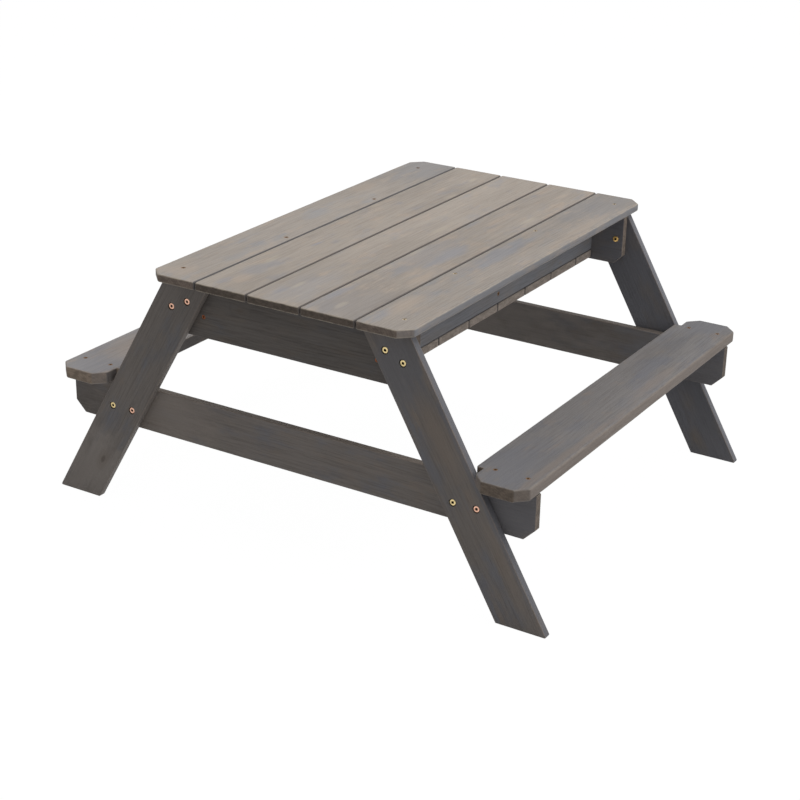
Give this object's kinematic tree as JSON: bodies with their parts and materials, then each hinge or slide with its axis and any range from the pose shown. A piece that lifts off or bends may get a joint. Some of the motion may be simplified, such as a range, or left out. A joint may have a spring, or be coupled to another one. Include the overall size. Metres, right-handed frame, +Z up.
{
  "type": "picnic table with sandbox",
  "caption": "Low children's picnic table with slanted board legs, a bench along each side, and a plank top whose middle lifts off a divided timber sandbox.",
  "frame": {"origin": "on the ground, under the middle of the table", "axes": "+X along the boards towards the far end, +Y across the boards towards the left bench, +Z up"},
  "size_m": [0.893, 1.0478, 0.49],
  "materials": {
    "top_timber": "grey stained softwood, matt, fine grain",
    "lid_timber": "warm grey stained softwood, matt, fine grain",
    "frame_timber": "dark grey stained softwood, matt",
    "seat_timber": "cool grey stained softwood, matt, fine grain",
    "sandbox_timber": "blue-grey stained softwood, matt",
    "fastener_brass": "yellow-passivated bolts and screws, satin"
  },
  "bodies": {
    "frame": {"top_board_left": "top_timber", "top_board_right": "top_timber", "leg_near_left": "frame_timber", "leg_near_right": "frame_timber", "leg_far_left": "frame_timber", "leg_far_right": "frame_timber", "apron_near": "frame_timber", "apron_far": "frame_timber", "seat_bearer_near": "frame_timber", "seat_bearer_far": "frame_timber", "seat_left": "seat_timber", "seat_right": "seat_timber", "sandbox_rail_left": "sandbox_timber", "sandbox_rail_right": "sandbox_timber", "sandbox_divider": "sandbox_timber", "sandbox_floor_board_1": "sandbox_timber", "sandbox_floor_board_2": "sandbox_timber", "sandbox_floor_board_3": "sandbox_timber", "sandbox_floor_board_4": "sandbox_timber", "sandbox_floor_board_5": "sandbox_timber", "sandbox_floor_board_6": "sandbox_timber", "sandbox_floor_board_7": "sandbox_timber", "sandbox_floor_board_8": "sandbox_timber", "bolt_near_left_top_inner": "fastener_brass", "bolt_near_left_top_outer": "fastener_brass", "bolt_near_left_seat_inner": "fastener_brass", "bolt_near_left_seat_outer": "fastener_brass", "bolt_near_right_top_inner": "fastener_brass", "bolt_near_right_top_outer": "fastener_brass", "bolt_near_right_seat_inner": "fastener_brass", "bolt_near_right_seat_outer": "fastener_brass", "bolt_far_left_top_inner": "fastener_brass", "bolt_far_left_top_outer": "fastener_brass", "bolt_far_left_seat_inner": "fastener_brass", "bolt_far_left_seat_outer": "fastener_brass", "bolt_far_right_top_inner": "fastener_brass", "bolt_far_right_top_outer": "fastener_brass", "bolt_far_right_seat_inner": "fastener_brass", "bolt_far_right_seat_outer": "fastener_brass", "screw_top_left_near_apron": "fastener_brass", "screw_top_left_near_rail": "fastener_brass", "screw_top_left_far_apron": "fastener_brass", "screw_top_left_far_rail": "fastener_brass", "screw_top_right_near_apron": "fastener_brass", "screw_top_right_near_rail": "fastener_brass", "screw_top_right_far_apron": "fastener_brass", "screw_top_right_far_rail": "fastener_brass", "screw_seat_left_near_inner": "fastener_brass", "screw_seat_left_near_outer": "fastener_brass", "screw_seat_left_far_inner": "fastener_brass", "screw_seat_left_far_outer": "fastener_brass", "screw_seat_right_near_inner": "fastener_brass", "screw_seat_right_near_outer": "fastener_brass", "screw_seat_right_far_inner": "fastener_brass", "screw_seat_right_far_outer": "fastener_brass"},
    "lid": {"lid_board_left": "lid_timber", "lid_board_middle": "lid_timber", "lid_board_right": "lid_timber", "lid_batten_near": "lid_timber", "lid_batten_far": "lid_timber"}
  },
  "joints": [
    {"name": "lid_lift", "type": "slide", "parent": "frame", "child": "lid", "axis": [0, 0, 1], "range_m": [0, 0.15]}
  ]
}
